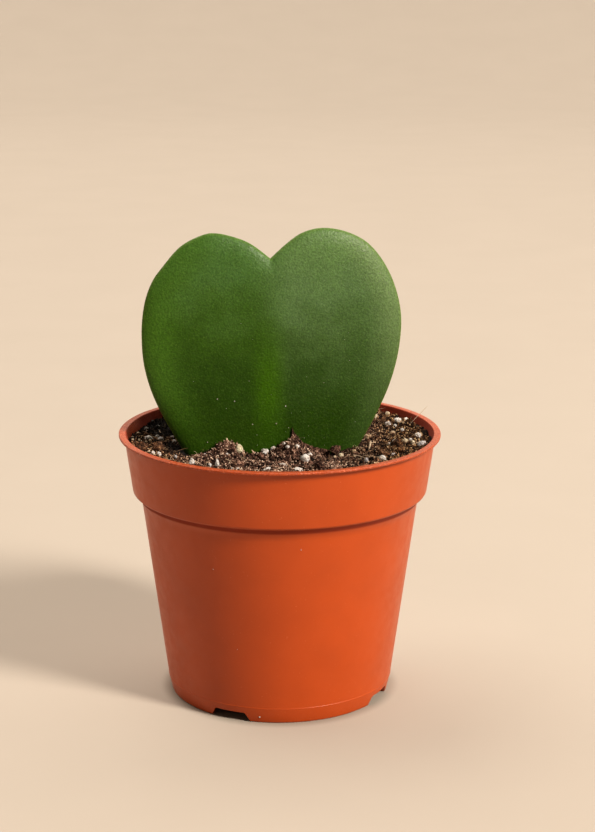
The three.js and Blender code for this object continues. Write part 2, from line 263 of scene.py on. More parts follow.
POT_DUST = [
    # azimuth, height, radius
    (-9.6, 1.8, 0.22), (9.0, 52.0, 0.14), (-28.0, 45.0, 0.1), (-19.0, 22.0, 0.1),
]

DUST_COUNT = 30
DUST_RADIUS = 0.17
DUST_REACH = 26
DUST_FROM_Z = 72
DUST_HEIGHT = 44
DUST_CLEARANCE = 4

# ---- Camera, from the photograph's perspective: an 85 mm lens on the long side of a 36 mm frame ----
CAMERA_PLACE = (4.93, -533.4, 211.8)
CAMERA_PITCH = math.radians(-13.97)
CAMERA_ROLL = math.radians(0.165)
LENS = 85.0
SENSOR = 36.0

# ---- Stage, in metres ----
BRIGHTEST_FLOOR = (1.3, -0.95, 0.0)
STAGE_GLOW = (1.0, 0.8, 0.64, 1.0)
STAGE_GLOW_STRENGTH = 0.15
CONTACT_SHADOW = 0.004
LAMPS = [
    # name, azimuth, elevation, distance, size, power
    ("key", 52.5, 36, 2.4, (0.45, 0.8), 96.0),
    ("back", 152, 45, 2.6, (3.0, 3.0), 40.0),
    ("left_back", -130, 50, 2.6, (3.0, 3.0), 66.0),
]
LAMP_COLOUR = (1.0, 0.9, 0.8)
LAMP_AIM = (0, 0, 0.07)
WORLD_STRENGTH = 0.02


# ---- Meshes ----

def link_mesh(name, vertices, faces, smooth_angle=35):
    """A mesh object from points in millimetres."""
    mesh = bpy.data.meshes.new(name)
    points = np.asarray(vertices, dtype=float) * MM
    mesh.from_pydata(points.tolist(), [], [tuple(face) for face in faces])
    mesh.update()
    mesh.shade_smooth()
    mesh.set_sharp_from_angle(angle=math.radians(smooth_angle))
    piece = bpy.data.objects.new(name, mesh)
    scene.collection.objects.link(piece)
    return piece


def link_copies(name, points, unit_faces, smooth_angle=60):
    """One mesh of many copies of a small mesh, from points indexed by (copy, point, axis)."""
    faces = unit_faces[None] + (np.arange(len(points)) * points.shape[1])[:, None, None]
    return link_mesh(name, points.reshape(-1, 3), faces.reshape(-1, 3).tolist(), smooth_angle)


def rounded_profile(corners, steps=6):
    """The (radius, z) points of an outline whose corners (radius, z, fillet) are rounded off."""
    points = []
    for index, (radius, z, fillet) in enumerate(corners):
        corner = Vector((radius, z))
        if not fillet:
            points.append(corner)
            continue
        before = (Vector(corners[index - 1][:2]) - corner).normalized()
        after = (Vector(corners[index + 1][:2]) - corner).normalized()
        half_angle = before.angle(after) / 2
        cut = fillet / math.tan(half_angle)
        centre = corner + (before + after).normalized() * (fillet / math.sin(half_angle))
        start = corner + before * cut - centre
        turn = start.angle_signed(corner + after * cut - centre)
        for step in range(steps + 1):
            points.append(centre + Matrix.Rotation(-turn * step / steps, 2) @ start)
    return [(point.x, point.y) for point in points]


def finely_spaced(points, longest):
    """The same outline, with its long straight stretches split up."""
    spaced = [points[0]]
    for start, end in zip(points, points[1:]):
        count = max(1, math.ceil(math.dist(start, end) / longest))
        for step in range(1, count + 1):
            share = step / count
            spaced.append(tuple(a + (b - a) * share for a, b in zip(start, end)))
    return spaced


def lathe_rings(profile, segments):
    """A ring of points for each (radius, z) of a profile."""
    angles = np.linspace(0, 2 * np.pi, segments, endpoint=False)
    return [
        np.column_stack([r * np.cos(angles), r * np.sin(angles), np.full(segments, z)])
        for r, z in profile
    ]


def revolve(profile, segments):
    """Points and faces of a closed lathe body, whose profile starts and ends on the axis."""
    first = np.array([[0, 0, profile[0][1]]])
    last = np.array([[0, 0, profile[-1][1]]])
    return skin(first, lathe_rings(profile[1:-1], segments), last)


def skin(first, rings, last):
    """A closed skin over rings of points, capped by one point at each end."""
    count = len(rings[0])
    vertices = np.vstack([first, *rings, last])
    end = len(vertices) - 1
    top = 1 + (len(rings) - 1) * count
    faces = []
    for k in range(count):
        following = (k + 1) % count
        faces.append((0, 1 + following, 1 + k))
        faces.append((end, top + k, top + following))
    for ring in range(len(rings) - 1):
        low = 1 + ring * count
        high = low + count
        for k in range(count):
            following = (k + 1) % count
            faces.append((low + k, low + following, high + following, high + k))
    return vertices, faces


def combine(piece, other, operation):
    """Cuts other out of piece, or joins it on, and removes other."""
    modifier = piece.modifiers.new("combine", "BOOLEAN")
    modifier.operation = operation
    modifier.solver = "EXACT"
    modifier.object = other
    apply_modifiers(piece)
    bpy.data.objects.remove(other)


def apply_modifiers(piece):
    graph = bpy.context.evaluated_depsgraph_get()
    mesh = bpy.data.meshes.new_from_object(piece.evaluated_get(graph))
    piece.modifiers.clear()
    old = piece.data
    piece.data = mesh
    bpy.data.meshes.remove(old)


def set_attribute(piece, name, values):
    attribute = piece.data.attributes.new(name, "FLOAT", "POINT")
    attribute.data.foreach_set("value", np.asarray(values, dtype=np.float32))


def points_of(piece):
    """The piece's points in millimetres."""
    flat = np.empty(len(piece.data.vertices) * 3)
    piece.data.vertices.foreach_get("co", flat)
    return flat.reshape(-1, 3) / MM


def roughen(points, amount, grain, seed):
    """How far each point is pushed out by soft noise, with bumps about one grain across."""
    shift = Vector((seed * 7.3, seed * 3.1, seed * 5.7))
    return np.array([amount * noise.noise(Vector(point) / grain + shift) for point in points])


# ---- Shaders ----

def srgb(red, green, blue):
    """A colour given as 8-bit screen values, as the linear values that a shader takes."""
    shares = [value / 255 for value in (red, green, blue)]
    linear = [s / 12.92 if s <= 0.04045 else ((s + 0.055) / 1.055) ** 2.4 for s in shares]
    return (*linear, 1.0)


class Shader:
    """A material with a few short ways to build its nodes."""

    def __init__(self, name, roughness):
        self.material = bpy.data.materials.new(name)
        self.material.use_nodes = True
        self.tree = self.material.node_tree
        self.surface = self.tree.nodes["Principled BSDF"]
        self.surface.inputs["Roughness"].default_value = roughness
        self.place = self.tree.nodes.new("ShaderNodeTexCoord").outputs["Object"]

    def node(self, kind, inputs=None, **settings):
        made = self.tree.nodes.new(kind)
        for key, value in settings.items():
            setattr(made, key, value)
        for key, value in (inputs or {}).items():
            self.feed(made.inputs[key], value)
        return made

    def feed(self, socket, value):
        if isinstance(value, bpy.types.NodeSocket):
            self.tree.links.new(value, socket)
        else:
            socket.default_value = value

    def noise(self, size, detail=3.0, roughness=0.55):
        """Soft noise, from about 0.3 to 0.7, whose blotches are about size millimetres across."""
        inputs = {
            "Vector": self.place, "Scale": 1 / (size * MM), "Detail": detail, "Roughness": roughness,
        }
        return self.node("ShaderNodeTexNoise", inputs).outputs["Fac"]

    def cells(self, size, feature="F1"):
        """Distance from the nearest of many scattered centres, size millimetres apart."""
        inputs = {"Vector": self.place, "Scale": 1 / (size * MM)}
        return self.node("ShaderNodeTexVoronoi", inputs, feature=feature).outputs["Distance"]

    def attribute(self, name):
        return self.node("ShaderNodeAttribute", attribute_name=name).outputs["Fac"]

    def math(self, operation, first, second=0.0):
        return self.node("ShaderNodeMath", {0: first, 1: second}, operation=operation).outputs[0]

    def times(self, first, second):
        return self.math("MULTIPLY", first, second)

    def spread(self, value, low, high, start=0.0, end=1.0):
        """Maps low..high to start..end, smoothly and held at both ends."""
        inputs = {"Value": value, "From Min": low, "From Max": high, "To Min": start, "To Max": end}
        kind = "ShaderNodeMapRange"
        return self.node(kind, inputs, interpolation_type="SMOOTHSTEP").outputs["Result"]

    def ramp(self, value, tints):
        """Blends the tints, which are given by their position from 0 to 1."""
        made = self.node("ShaderNodeValToRGB", {"Fac": value})
        elements = made.color_ramp.elements
        while len(elements) < len(tints):
            elements.new(1.0)
        for element, (position, tint) in zip(elements, tints.items()):
            element.position = position
            element.color = srgb(*tint)
        return made.outputs["Color"]

    def mix(self, share, first, second):
        made = self.node("ShaderNodeMix", data_type="RGBA")
        self.feed(made.inputs["Factor"], share)
        self.feed(made.inputs[6], first)
        self.feed(made.inputs[7], second)
        return made.outputs[2]

    def bump(self, height, distance, under=None):
        """Raises the surface by height times distance millimetres."""
        inputs = {"Height": height, "Distance": distance * MM, "Strength": 1.0}
        made = self.node("ShaderNodeBump", inputs)
        if under:
            self.feed(made.inputs["Normal"], under)
        return made.outputs["Normal"]

    def finish(self, colour=None, roughness=None, normal=None, **fixed):
        for socket, value in (("Base Color", colour), ("Roughness", roughness), ("Normal", normal)):
            if value is not None:
                self.feed(self.surface.inputs[socket], value)
        for key, value in fixed.items():
            self.surface.inputs[key.replace("_", " ")].default_value = value
        return self.material


def pot_plastic():
    shader = Shader("pot_plastic", 0.4)
    tint = shader.ramp(shader.noise(14, 4), {0.35: (160, 65, 12), 0.65: (166, 68, 14)})
    pale_specks = shader.spread(shader.noise(0.5, 1), 0.72, 0.8, 0, 0.35)
    colour = shader.mix(pale_specks, tint, srgb(196, 120, 84))
    lip = shader.attribute("lip")
    lip_mottle = shader.spread(shader.noise(0.7, 3, 0.7), 0.35, 0.65, 0.0, 0.6)
    colour = shader.mix(shader.times(lip, lip_mottle), colour, srgb(126, 48, 16))
    lip_specks = shader.spread(shader.noise(0.6, 2, 0.7), 0.52, 0.68, 0.0, 0.4)
    colour = shader.mix(shader.times(lip, lip_specks), colour, srgb(216, 128, 92))
    inside = shader.attribute("inside")
    # Painted shade on the inside of the wall.
    colour = shader.mix(inside, colour, srgb(118, 34, 3))
    gloss = shader.spread(shader.noise(3.2, 5), 0.3, 0.7, 0.36, 0.46)
    sheen = shader.math("ADD", gloss, shader.times(inside, 0.6))
    grain = shader.bump(shader.noise(0.32, 2), 0.006)
    normal = shader.bump(shader.times(lip, shader.noise(0.55, 4, 0.7)), 0.3, under=grain)
    return shader.finish(colour, sheen, normal)


def lobe_colour(shader, level, tints):
    """The leaf's colour from its foot up, from tints given by their height: darker near the soil, partly
    with painted shade, and paler higher up with painted sheen.
    """
    return shader.ramp(level, {(z - TINTS_FROM_Z) / TINTS_HEIGHT: tint for z, tint in tints.items()})


def leaf_skin():
    shader = Shader("leaf_skin", 0.45)
    across = shader.attribute("across")
    height = shader.attribute("height")
    margin = shader.attribute("margin")
    drift = shader.spread(shader.noise(9, 4), 0.3, 0.7, -5, 5)
    above = shader.math("SUBTRACT", shader.math("ADD", height, drift), TINTS_FROM_Z)
    level = shader.math("DIVIDE", above, TINTS_HEIGHT)
    left_lobe = lobe_colour(shader, level, LEFT_LOBE_PAINTED_LIGHT_TINTS)
    right_lobe = lobe_colour(shader, level, RIGHT_LOBE_PAINTED_LIGHT_TINTS)
    # The right lobe takes paler, greyer tints than the left: painted sheen on the side that faces the
    # light.
    colour = shader.mix(shader.spread(across, -7, 8), left_lobe, right_lobe)
    # Painted light along the left margin: a paler green band.
    left_margin_painted_light = shader.times(shader.spread(margin, 13, 2), shader.spread(across, -8, -24))
    left_margin_painted_light = shader.times(left_margin_painted_light, shader.spread(height, 122, 100, 0.55, 1))
    left_margin_painted_light = shader.times(left_margin_painted_light, shader.spread(height, 76, 90, 0.35, 1))
    colour = shader.mix(left_margin_painted_light, colour, srgb(66, 101, 27))
    # Painted highlight along the right margin, higher up.
    right_margin_painted_highlight = shader.times(shader.spread(margin, 11, 1), shader.spread(across, 14, 30))
    right_margin_painted_highlight = shader.times(right_margin_painted_highlight, shader.spread(height, 76, 118, 0.2, 0.75))
    colour = shader.mix(right_margin_painted_highlight, colour, srgb(101, 122, 80))
    beside = shader.math("ABSOLUTE", shader.math("ADD", across, 0.9))
    rising = shader.times(shader.spread(height, 114, 90), shader.spread(height, 70, 88, 0.2, 1))
    midrib = shader.times(shader.spread(beside, 0.4, 6.4, 1, 0), rising)
    colour = shader.mix(midrib, colour, srgb(55, 90, 0))
    edge = shader.spread(margin, 0.8, 0.2, 0, 0.35)
    colour = shader.mix(edge, colour, srgb(92, 116, 40))
    dark_freckles = shader.spread(shader.noise(0.5, 3, 0.7), 0.36, 0.64, 0, 0.34)
    colour = shader.mix(dark_freckles, colour, srgb(12, 28, 0))
    pale_freckles = shader.spread(shader.noise(0.4, 2), 0.54, 0.72, 0, 0.12)
    colour = shader.mix(pale_freckles, colour, srgb(120, 152, 74))
    pebbles = shader.cells(0.55, "SMOOTH_F1")
    dimples = shader.bump(pebbles, 0.09)
    swells = shader.bump(shader.noise(1.4, 3), 0.09, under=dimples)
    sheen = shader.spread(shader.noise(1.1, 4), 0.3, 0.7, 0.4, 0.55)
    return shader.finish(
        colour, sheen, swells, Specular_IOR_Level=0.18,
        Subsurface_Weight=0.1, Subsurface_Radius=(0.5, 1.0, 0.25), Subsurface_Scale=0.0012,
    )


def peat():
    shader = Shader("peat", 0.95)
    tone = shader.attribute("tone")
    specks = shader.spread(shader.noise(0.4, 4, 0.7), 0.34, 0.66, -0.22, 0.22)
    mottle = shader.math("ADD", tone, specks)
    reddish = shader.ramp(mottle, {
        0.0: (12, 8, 6), 0.3: (46, 30, 24), 0.62: (104, 77, 65), 0.85: (164, 134, 116),
        1.0: (208, 186, 166),
    })
    sandy = shader.ramp(mottle, {
        0.0: (10, 7, 4), 0.3: (40, 26, 16), 0.62: (92, 62, 39), 0.85: (146, 112, 78),
        1.0: (192, 166, 128),
    })
    colour = shader.mix(shader.attribute("sandy"), reddish, sandy)
    # Painted shade where shadows fall on the soil.
    colour = shader.mix(shader.attribute("painted_shade"), colour, srgb(9, 6, 4))
    normal = shader.bump(shader.noise(0.22, 4, 0.7), 0.1)
    return shader.finish(colour, None, normal, Specular_IOR_Level=0.2)


def perlite():
    shader = Shader("perlite", 0.85)
    tint = shader.ramp(shader.attribute("tone"), {
        0.0: (152, 150, 152), 0.33: (192, 190, 188), 0.6: (178, 166, 140), 0.8: (140, 114, 86),
        1.0: (196, 190, 164),
    })
    stains = shader.spread(shader.noise(0.6, 4, 0.65), 0.46, 0.66, 0, 0.7)
    colour = shader.mix(stains, tint, srgb(128, 108, 90))
    pores = shader.spread(shader.cells(0.42), 0.28, 0.08, 0, 0.8)
    colour = shader.mix(pores, colour, srgb(70, 52, 42))
    # Painted shade on the perlite where shadows fall.
    painted_shade = shader.times(shader.attribute("painted_shade"), 0.9)
    colour = shader.mix(painted_shade, colour, srgb(30, 24, 20))
    pits = shader.bump(shader.cells(0.42), 0.22)
    return shader.finish(
        colour, None, pits,
        Subsurface_Weight=0.15, Subsurface_Radius=(1.0, 0.9, 0.8), Subsurface_Scale=0.0004,
    )


def fibre():
    shader = Shader("fibre", 0.8)
    colour = shader.ramp(shader.attribute("tone"), {
        0.0: (56, 38, 28), 0.6: (120, 92, 66), 1.0: (190, 172, 148),
    })
    normal = shader.bump(shader.noise(0.15, 3), 0.03)
    return shader.finish(colour, None, normal)


def stage_paint():
    """Pale paint, deeper under the nearest light, that glows a little, which softens shadows. Under
    the pot it doesn't glow."""
    shader = Shader("stage_paint", 0.9)
    colour = shader.ramp(shader.noise(60, 3), {0.3: (146, 139, 129), 0.7: (148, 141, 131)})
    inputs = {0: shader.place, 1: BRIGHTEST_FLOOR}
    away = shader.node("ShaderNodeVectorMath", inputs, operation="DISTANCE").outputs["Value"]
    colour = shader.mix(shader.spread(away, 1.6, 0.3), colour, srgb(104, 100, 94))
    from_axis = shader.node("ShaderNodeVectorMath", {0: shader.place}, operation="LENGTH").outputs["Value"]
    under_pot = FOOT_BOTTOM_RADIUS * MM
    glow = shader.spread(from_axis, under_pot, under_pot + CONTACT_SHADOW, 0, STAGE_GLOW_STRENGTH)
    shader.feed(shader.surface.inputs["Emission Strength"], glow)
    return shader.finish(colour, None, None, Specular_IOR_Level=0.1, Emission_Color=STAGE_GLOW)


# ---- Pot shape ----

INNER_WALL_BOTTOM = (BAND_BOTTOM_RADIUS - WALL, BAND_BOTTOM_Z + WALL)


def inner_wall_radius(z):
    share = (z - INNER_WALL_BOTTOM[1]) / (POT_HEIGHT - INNER_WALL_BOTTOM[1])
    return INNER_WALL_BOTTOM[0] + (LIP_INNER - INNER_WALL_BOTTOM[0]) * share


def pot_profile():
    """The outline from the middle of the underside, outward, up and back in along the inside."""
    underside = FLOOR_TOP_Z - FLOOR_THICKNESS
    foot_inner = FOOT_BOTTOM_RADIUS - FOOT_RING_WIDTH
    foot_inner_top = foot_inner + (FOOT_TOP_RADIUS - FOOT_BOTTOM_RADIUS) * underside / FOOT_TOP_Z
    lip_underside = POT_HEIGHT - LIP_THICKNESS
    corners = [
        # radius, height, fillet
        (0, underside, 0),
        (foot_inner_top, underside, 0.4),
        (foot_inner, 0, 0.2),
        (FOOT_BOTTOM_RADIUS, 0, 0.5),
        (FOOT_TOP_RADIUS, FOOT_TOP_Z - 0.1, 0.06),
        (FOOT_TOP_RADIUS - FOOT_LEDGE, FOOT_TOP_Z, 0.04),
        (BODY_TOP_RADIUS, BODY_TOP_Z, 6.0),
        (BAND_BOTTOM_RADIUS, BAND_BOTTOM_Z, 0.9),
        (BAND_TOP_RADIUS, lip_underside, 0.35),
        (LIP_OUTER, lip_underside, 0.3),
        (LIP_OUTER, POT_HEIGHT, 0.3),
        (LIP_INNER, POT_HEIGHT, 0.35),
        (*INNER_WALL_BOTTOM, 0.6),
        (BODY_TOP_RADIUS - WALL, BODY_TOP_Z + WALL, 0.6),
        (FOOT_TOP_RADIUS - WALL, FLOOR_TOP_Z, 0.8),
        (0, FLOOR_TOP_Z, 0),
    ]
    return finely_spaced(rounded_profile(corners), 4)


def notch_cutter(azimuth):
    """A trapezoid with rounded upper corners, lying along the radius at that azimuth from -Y. It
    starts 1 mm below the pot."""
    flare = (NOTCH_BOTTOM_WIDTH - NOTCH_TOP_WIDTH) / 2 / NOTCH_HEIGHT
    bottom = NOTCH_BOTTOM_WIDTH / 2 + flare
    top = NOTCH_TOP_WIDTH / 2
    corners = [
        (0, -1, 0), (bottom, -1, 0), (top, NOTCH_HEIGHT, NOTCH_FILLET),
        (-top, NOTCH_HEIGHT, NOTCH_FILLET), (-bottom, -1, 0), (0, -1, 0),
    ]
    outline = rounded_profile(corners, 4)[1:-1]
    near, far = FOOT_BOTTOM_RADIUS - NOTCH_CUT_INWARD, FOOT_BOTTOM_RADIUS + NOTCH_CUT_OUTWARD
    count = len(outline)
    vertices = [(x, -near, z) for x, z in outline] + [(x, -far, z) for x, z in outline]
    faces = [tuple(range(count)), tuple(reversed(range(count, 2 * count)))]
    for k in range(count):
        following = (k + 1) % count
        faces.append((k, k + count, following + count, following))
    return turned(link_mesh("notch_cutter", vertices, faces), azimuth)


def drain_cutter(distance, azimuth):
    low, high = DRAIN_CUT_SPAN
    profile = [(0, low), (DRAIN_RADIUS, low), (DRAIN_RADIUS, high), (0, high)]
    vertices, faces = revolve(profile, DRAIN_SEGMENTS)
    return turned(link_mesh("drain_cutter", vertices + [0, -distance, 0], faces), azimuth)


def turned(piece, azimuth):
    piece.data.transform(Matrix.Rotation(math.radians(azimuth), 4, "Z"))
    return piece


def make_pot():
    pot = link_mesh("pot_shell", *revolve(pot_profile(), POT_SEGMENTS))
    make_outward(pot)
    cutters = [drain_cutter(0, 0)]
    for index in range(NOTCH_COUNT):
        azimuth = NOTCH_FIRST_AZIMUTH + index * 360 / NOTCH_COUNT
        cutters.append(notch_cutter(azimuth))
        cutters.append(drain_cutter(DRAIN_RING_RADIUS, azimuth))
    for cutter in cutters:
        make_outward(cutter)
        combine(pot, cutter, "DIFFERENCE")
    pot.data.set_sharp_from_angle(angle=math.radians(35))
    points = points_of(pot)
    radius = np.hypot(points[:, 0], points[:, 1])
    is_lip = (points[:, 2] > POT_HEIGHT - LIP_THICKNESS - 0.05) & (radius > LIP_INNER - 0.1)
    set_attribute(pot, "lip", is_lip)
    is_inside = (radius < inner_wall_radius(points[:, 2]) + 0.2) & (points[:, 2] > BODY_TOP_Z)
    azimuth = np.degrees(np.arctan2(points[:, 0], -points[:, 1]))
    # The inside of the wall above the soil gets painted shade, except where light falls on it at the left.
    off_lit_wall = np.clip(np.abs(azimuth - LIT_WALL_AZIMUTH) / LIT_WALL_REACH, 0, 1) ** 2
    set_attribute(pot, "inside", is_inside * off_lit_wall * INSIDE_PAINTED_SHADE)
    pot.data.materials.append(pot_plastic())
    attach(pot, "root")
    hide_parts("pot")


def make_outward(piece):
    work = bmesh.new()
    work.from_mesh(piece.data)
    bmesh.ops.recalc_face_normals(work, faces=work.faces)
    work.to_mesh(piece.data)
    work.free()


# ---- Leaf shape ----

def smooth_curve(knots, steps):
    """Points along a curve that passes through the knots, evenly spaced along its length."""
    points = np.array(knots, dtype=float)
    ends = np.vstack([points[:1], points, points[-1:]])
    fine = []
    share = np.linspace(0, 1, 24, endpoint=False)[:, None]
    for p0, p1, p2, p3 in zip(ends, ends[1:], ends[2:], ends[3:]):
        out, into = (p2 - p0) / 2, (p3 - p1) / 2
        cubic = (2 * p1 - 2 * p2 + out + into) * share ** 3
        fine.append(cubic + (3 * p2 - 3 * p1 - 2 * out - into) * share ** 2 + out * share + p1)
    fine = np.vstack([*fine, points[-1:]])
    length = np.concatenate([[0], np.cumsum(np.linalg.norm(np.diff(fine, axis=0), axis=1))])
    wanted = np.linspace(0, length[-1], steps + 1)
    return np.column_stack([np.interp(wanted, length, fine[:, axis]) for axis in (0, 1)])


def blade_margin(steps):
    """Once round the blade: down the right side from the notch, and back up the left side."""
    right = smooth_curve([NOTCH_POINT, *RIGHT_MARGIN, BLADE_TIP], steps)
    left = smooth_curve([NOTCH_POINT, *LEFT_MARGIN, BLADE_TIP], steps)
    margin = np.vstack([right, left[::-1][1:-1]])
    return margin + ([0, BLADE_CENTRE_Z] - margin) * MARGIN_TRIM


MARGIN = blade_margin(MARGIN_STEPS)


def distance_to_margin(points):
    """How far each (across, z) point lies from the blade's outline."""
    edge = np.roll(MARGIN, -1, axis=0) - MARGIN
    nearest = np.full(len(points), np.inf)
    for corner, step in zip(MARGIN, edge):
        offset = points - corner
        share = np.clip(offset @ step / (step @ step), 0, 1)
        gap = np.linalg.norm(offset - share[:, None] * step, axis=1)
        nearest = np.minimum(nearest, gap)
    return nearest


def fold_depth(across):
    return FOLD_SLOPE * (np.hypot(across, FOLD_SOFTNESS) - FOLD_SOFTNESS)


def blade_middle(points):
    """How far back the middle of the blade lies: the fold, and lobes that lean back a little."""
    lean = np.clip((points[:, 1] - LOBE_LEAN_FROM) / LOBE_LEAN_HEIGHT, 0, 1) ** 2
    return fold_depth(points[:, 0]) + LOBE_LEAN * lean


def half_thickness(points):
    depth = np.minimum(distance_to_margin(points) / MARGIN_WIDTH, 1)
    return HALF_THICKNESS * np.sqrt(np.clip(1 - (1 - depth) ** 2, 0, 1))


def leaf_to_world(points):
    """From the leaf's own frame (across, through, z) to where it stands."""
    cos, sin = math.cos(LEAF_TURN), math.sin(LEAF_TURN)
    across, through, z = points.T
    return np.column_stack([
        LEAF_X + across * cos - through * sin,
        LEAF_Y + across * sin + through * cos,
        z,
    ])


def world_to_leaf(points):
    cos, sin = math.cos(LEAF_TURN), math.sin(LEAF_TURN)
    away_x, away_y, z = (points - [LEAF_X, LEAF_Y, 0]).T
    return np.column_stack([away_x * cos + away_y * sin, away_y * cos - away_x * sin, z])


def blade_ring(inward, side):
    """The ring of surface points that lie the share inward of the way to the blade's centre."""
    flat = MARGIN + ([0, BLADE_CENTRE_Z] - MARGIN) * inward[:, None]
    thickness = half_thickness(flat)
    world = np.column_stack([flat[:, 0], np.zeros(len(flat)), flat[:, 1]])
    ease = np.clip(1 - distance_to_margin(flat) / MARGIN_EASE_WIDTH, 0, 1) ** 2
    swell = roughen(world, SWELL_HEIGHT, SWELL_WIDTH, 3 + side) - MARGIN_EASE * ease
    thickness = thickness - SKIN_INSET + swell * thickness / HALF_THICKNESS
    through = blade_middle(flat) + side * thickness
    return np.column_stack([flat[:, 0], through, flat[:, 1]])


def make_leaf():
    reach = np.linalg.norm(MARGIN - [0, BLADE_CENTRE_Z], axis=1)
    growth = [RING_GROWTH ** step for step in range(MARGIN_RINGS)]
    near_margin = [(RING_STEP * grown - RING_SHIFT) / reach for grown in growth]
    last = near_margin[-1]
    inner = [last + (1 - last) * share for share in np.linspace(0, 1, INNER_RINGS)[1:-1]]
    inward = near_margin + inner
    front = [blade_ring(share, -1) for share in reversed(inward)]
    back = [blade_ring(share, 1) for share in inward]
    edge = np.column_stack([MARGIN[:, 0], blade_middle(MARGIN), MARGIN[:, 1]])
    centre = HALF_THICKNESS - SKIN_INSET
    first = np.array([[0, -centre, BLADE_CENTRE_Z]])
    last_point = np.array([[0, centre, BLADE_CENTRE_Z]])
    vertices, faces = skin(first, [*front, edge, *back], last_point)
    leaf = link_mesh("leaf_blade", leaf_to_world(vertices), faces)
    make_outward(leaf)
    combine(leaf, make_stalk(), "UNION")
    local = world_to_leaf(points_of(leaf))
    set_attribute(leaf, "across", local[:, 0])
    set_attribute(leaf, "height", local[:, 2])
    set_attribute(leaf, "margin", distance_to_margin(local[:, [0, 2]]))
    leaf.data.materials.append(leaf_skin())
    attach(leaf, "root")
    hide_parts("leaf")
    return leaf


def make_stalk():
    radius, bottom = STALK_RADIUS, STALK_BOTTOM_Z
    corners = [(0, bottom, 0), (radius, bottom, 0.9), (radius, STALK_TOP_Z, 0.8), (0, STALK_TOP_Z, 0)]
    vertices, faces = revolve(rounded_profile(corners), STALK_SEGMENTS)
    stalk = link_mesh("stalk", leaf_to_world(vertices), faces)
    make_outward(stalk)
    return stalk


# ---- Soil shape ----

def bank_rise(x, y):
    rise = np.zeros(np.shape(x))
    for bank_x, bank_y, height, left, right, through in BANKS:
        away_x = (x - bank_x) / np.where(x < bank_x, left, right)
        away_y = (y - bank_y) / through
        rise = rise + height * np.exp(-away_x ** 2 - away_y ** 2)
    return rise


def soil_height(x, y):
    """The soil's level: a rise toward the wall, long low waves and the banks."""
    reach = np.hypot(x, y) / LIP_INNER
    back_right = (x + y) / math.sqrt(2) / LIP_INNER
    z = SOIL_LEVEL + reach ** 2 * SOIL_RISE + back_right * reach * SOIL_RISE_BACK_RIGHT
    z = z + 0.28 * np.sin(0.9 * x + 0.4 * y) * np.cos(0.7 * y - 0.3 * x)
    return z + 0.14 * np.sin(2.1 * x - 1.3 * y) + bank_rise(x, y)


def crumbled_height(x, y):
    """The soil's height with its small bumps, under the loose crumbs."""
    ground = np.column_stack([x, y, soil_height(x, y)])
    z = ground[:, 2] - BED_DROP
    for height, width, seed in BED_BUMPS:
        z = z + roughen(ground, height, width, seed)
    return z


def clear_of_leaf(x, y, room):
    """True where a grain that needs that much room stands free of the leaf."""
    spots = np.column_stack([np.atleast_1d(x), np.atleast_1d(y), np.zeros(np.size(x))])
    across, through, _ = world_to_leaf(spots).T
    beside = np.abs(across) > LEAF_REACH_IN_SOIL + room
    apart = np.abs(through - fold_depth(across)) > HALF_THICKNESS + room
    return beside | apart


def make_soil_bed(leaf):
    """The filling of the pot, with a crumbly top and a slot that the leaf stands in."""
    sectors, rings = 400, 120
    angles = np.linspace(0, 2 * np.pi, sectors, endpoint=False)
    circle = np.column_stack([np.cos(angles), np.sin(angles)])

    def level(radius, z):
        return np.column_stack([circle * (radius - SOIL_GAP), np.full(sectors, z)])

    rim = circle * (inner_wall_radius(SOIL_LEVEL + SOIL_RISE) - SOIL_GAP)
    surface = []
    for share in np.linspace(1, 0, rings, endpoint=False):
        flat = np.array([LEAF_X, LEAF_Y]) * (1 - share) + rim * share
        surface.append(np.column_stack([flat, crumbled_height(flat[:, 0], flat[:, 1])]))
    walls = [
        level(FOOT_TOP_RADIUS - WALL, FLOOR_TOP_Z + SOIL_GAP),
        level(BODY_TOP_RADIUS - WALL, BODY_TOP_Z + WALL),
        level(*INNER_WALL_BOTTOM),
    ]
    bottom = np.array([[0, 0, FLOOR_TOP_Z + SOIL_GAP]])
    top = np.array([[LEAF_X, LEAF_Y, SOIL_LEVEL]])
    bed = link_mesh("soil_bed", *skin(bottom, walls + surface, top), 60)
    make_outward(bed)
    hollow = leaf.copy()
    hollow.data = leaf.data.copy()
    scene.collection.objects.link(hollow)
    combine(bed, hollow, "DIFFERENCE")
    points = points_of(bed)
    tone = BED_TONE + BANK_TONE * bank_rise(points[:, 0], points[:, 1])
    finish_ground(bed, tone + roughen(points, 0.4, 1.3, 4), peat_material)
    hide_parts("soil")


def steady_random(seed):
    """Draws from 0 to 1, the same each time."""
    state = seed
    while True:
        state = (state * 1664525 + 1013904223) % 4294967296
        yield state / 4294967296


def scatter_among(taken, seed, count, smallest, spread):
    """Grains drawn one after another, each kept only where it stands free of all the others."""
    draws = steady_random(seed)
    grains = []
    while len(grains) < count:
        distance = SCATTER_REACH * math.sqrt(next(draws))
        angle = 2 * math.pi * next(draws)
        radius = smallest + spread * next(draws) ** 2
        x, y = distance * math.cos(angle), distance * math.sin(angle)
        others = [*taken, *grains]
        room = radius + SCATTER_SPACING
        is_apart = all(math.hypot(x - ox, y - oy) > room + size for ox, oy, size in others)
        if is_apart and clear_of_leaf(x, y, room)[0]:
            grains.append((x, y, radius))
    return grains


def ball(subdivisions):
    """Points and faces of a unit ball of near-equal triangles."""
    work = bmesh.new()
    bmesh.ops.create_icosphere(work, subdivisions=subdivisions, radius=1)
    points = np.array([vertex.co[:] for vertex in work.verts])
    faces = np.array([[vertex.index for vertex in face.verts] for face in work.faces])
    work.free()
    return points, faces


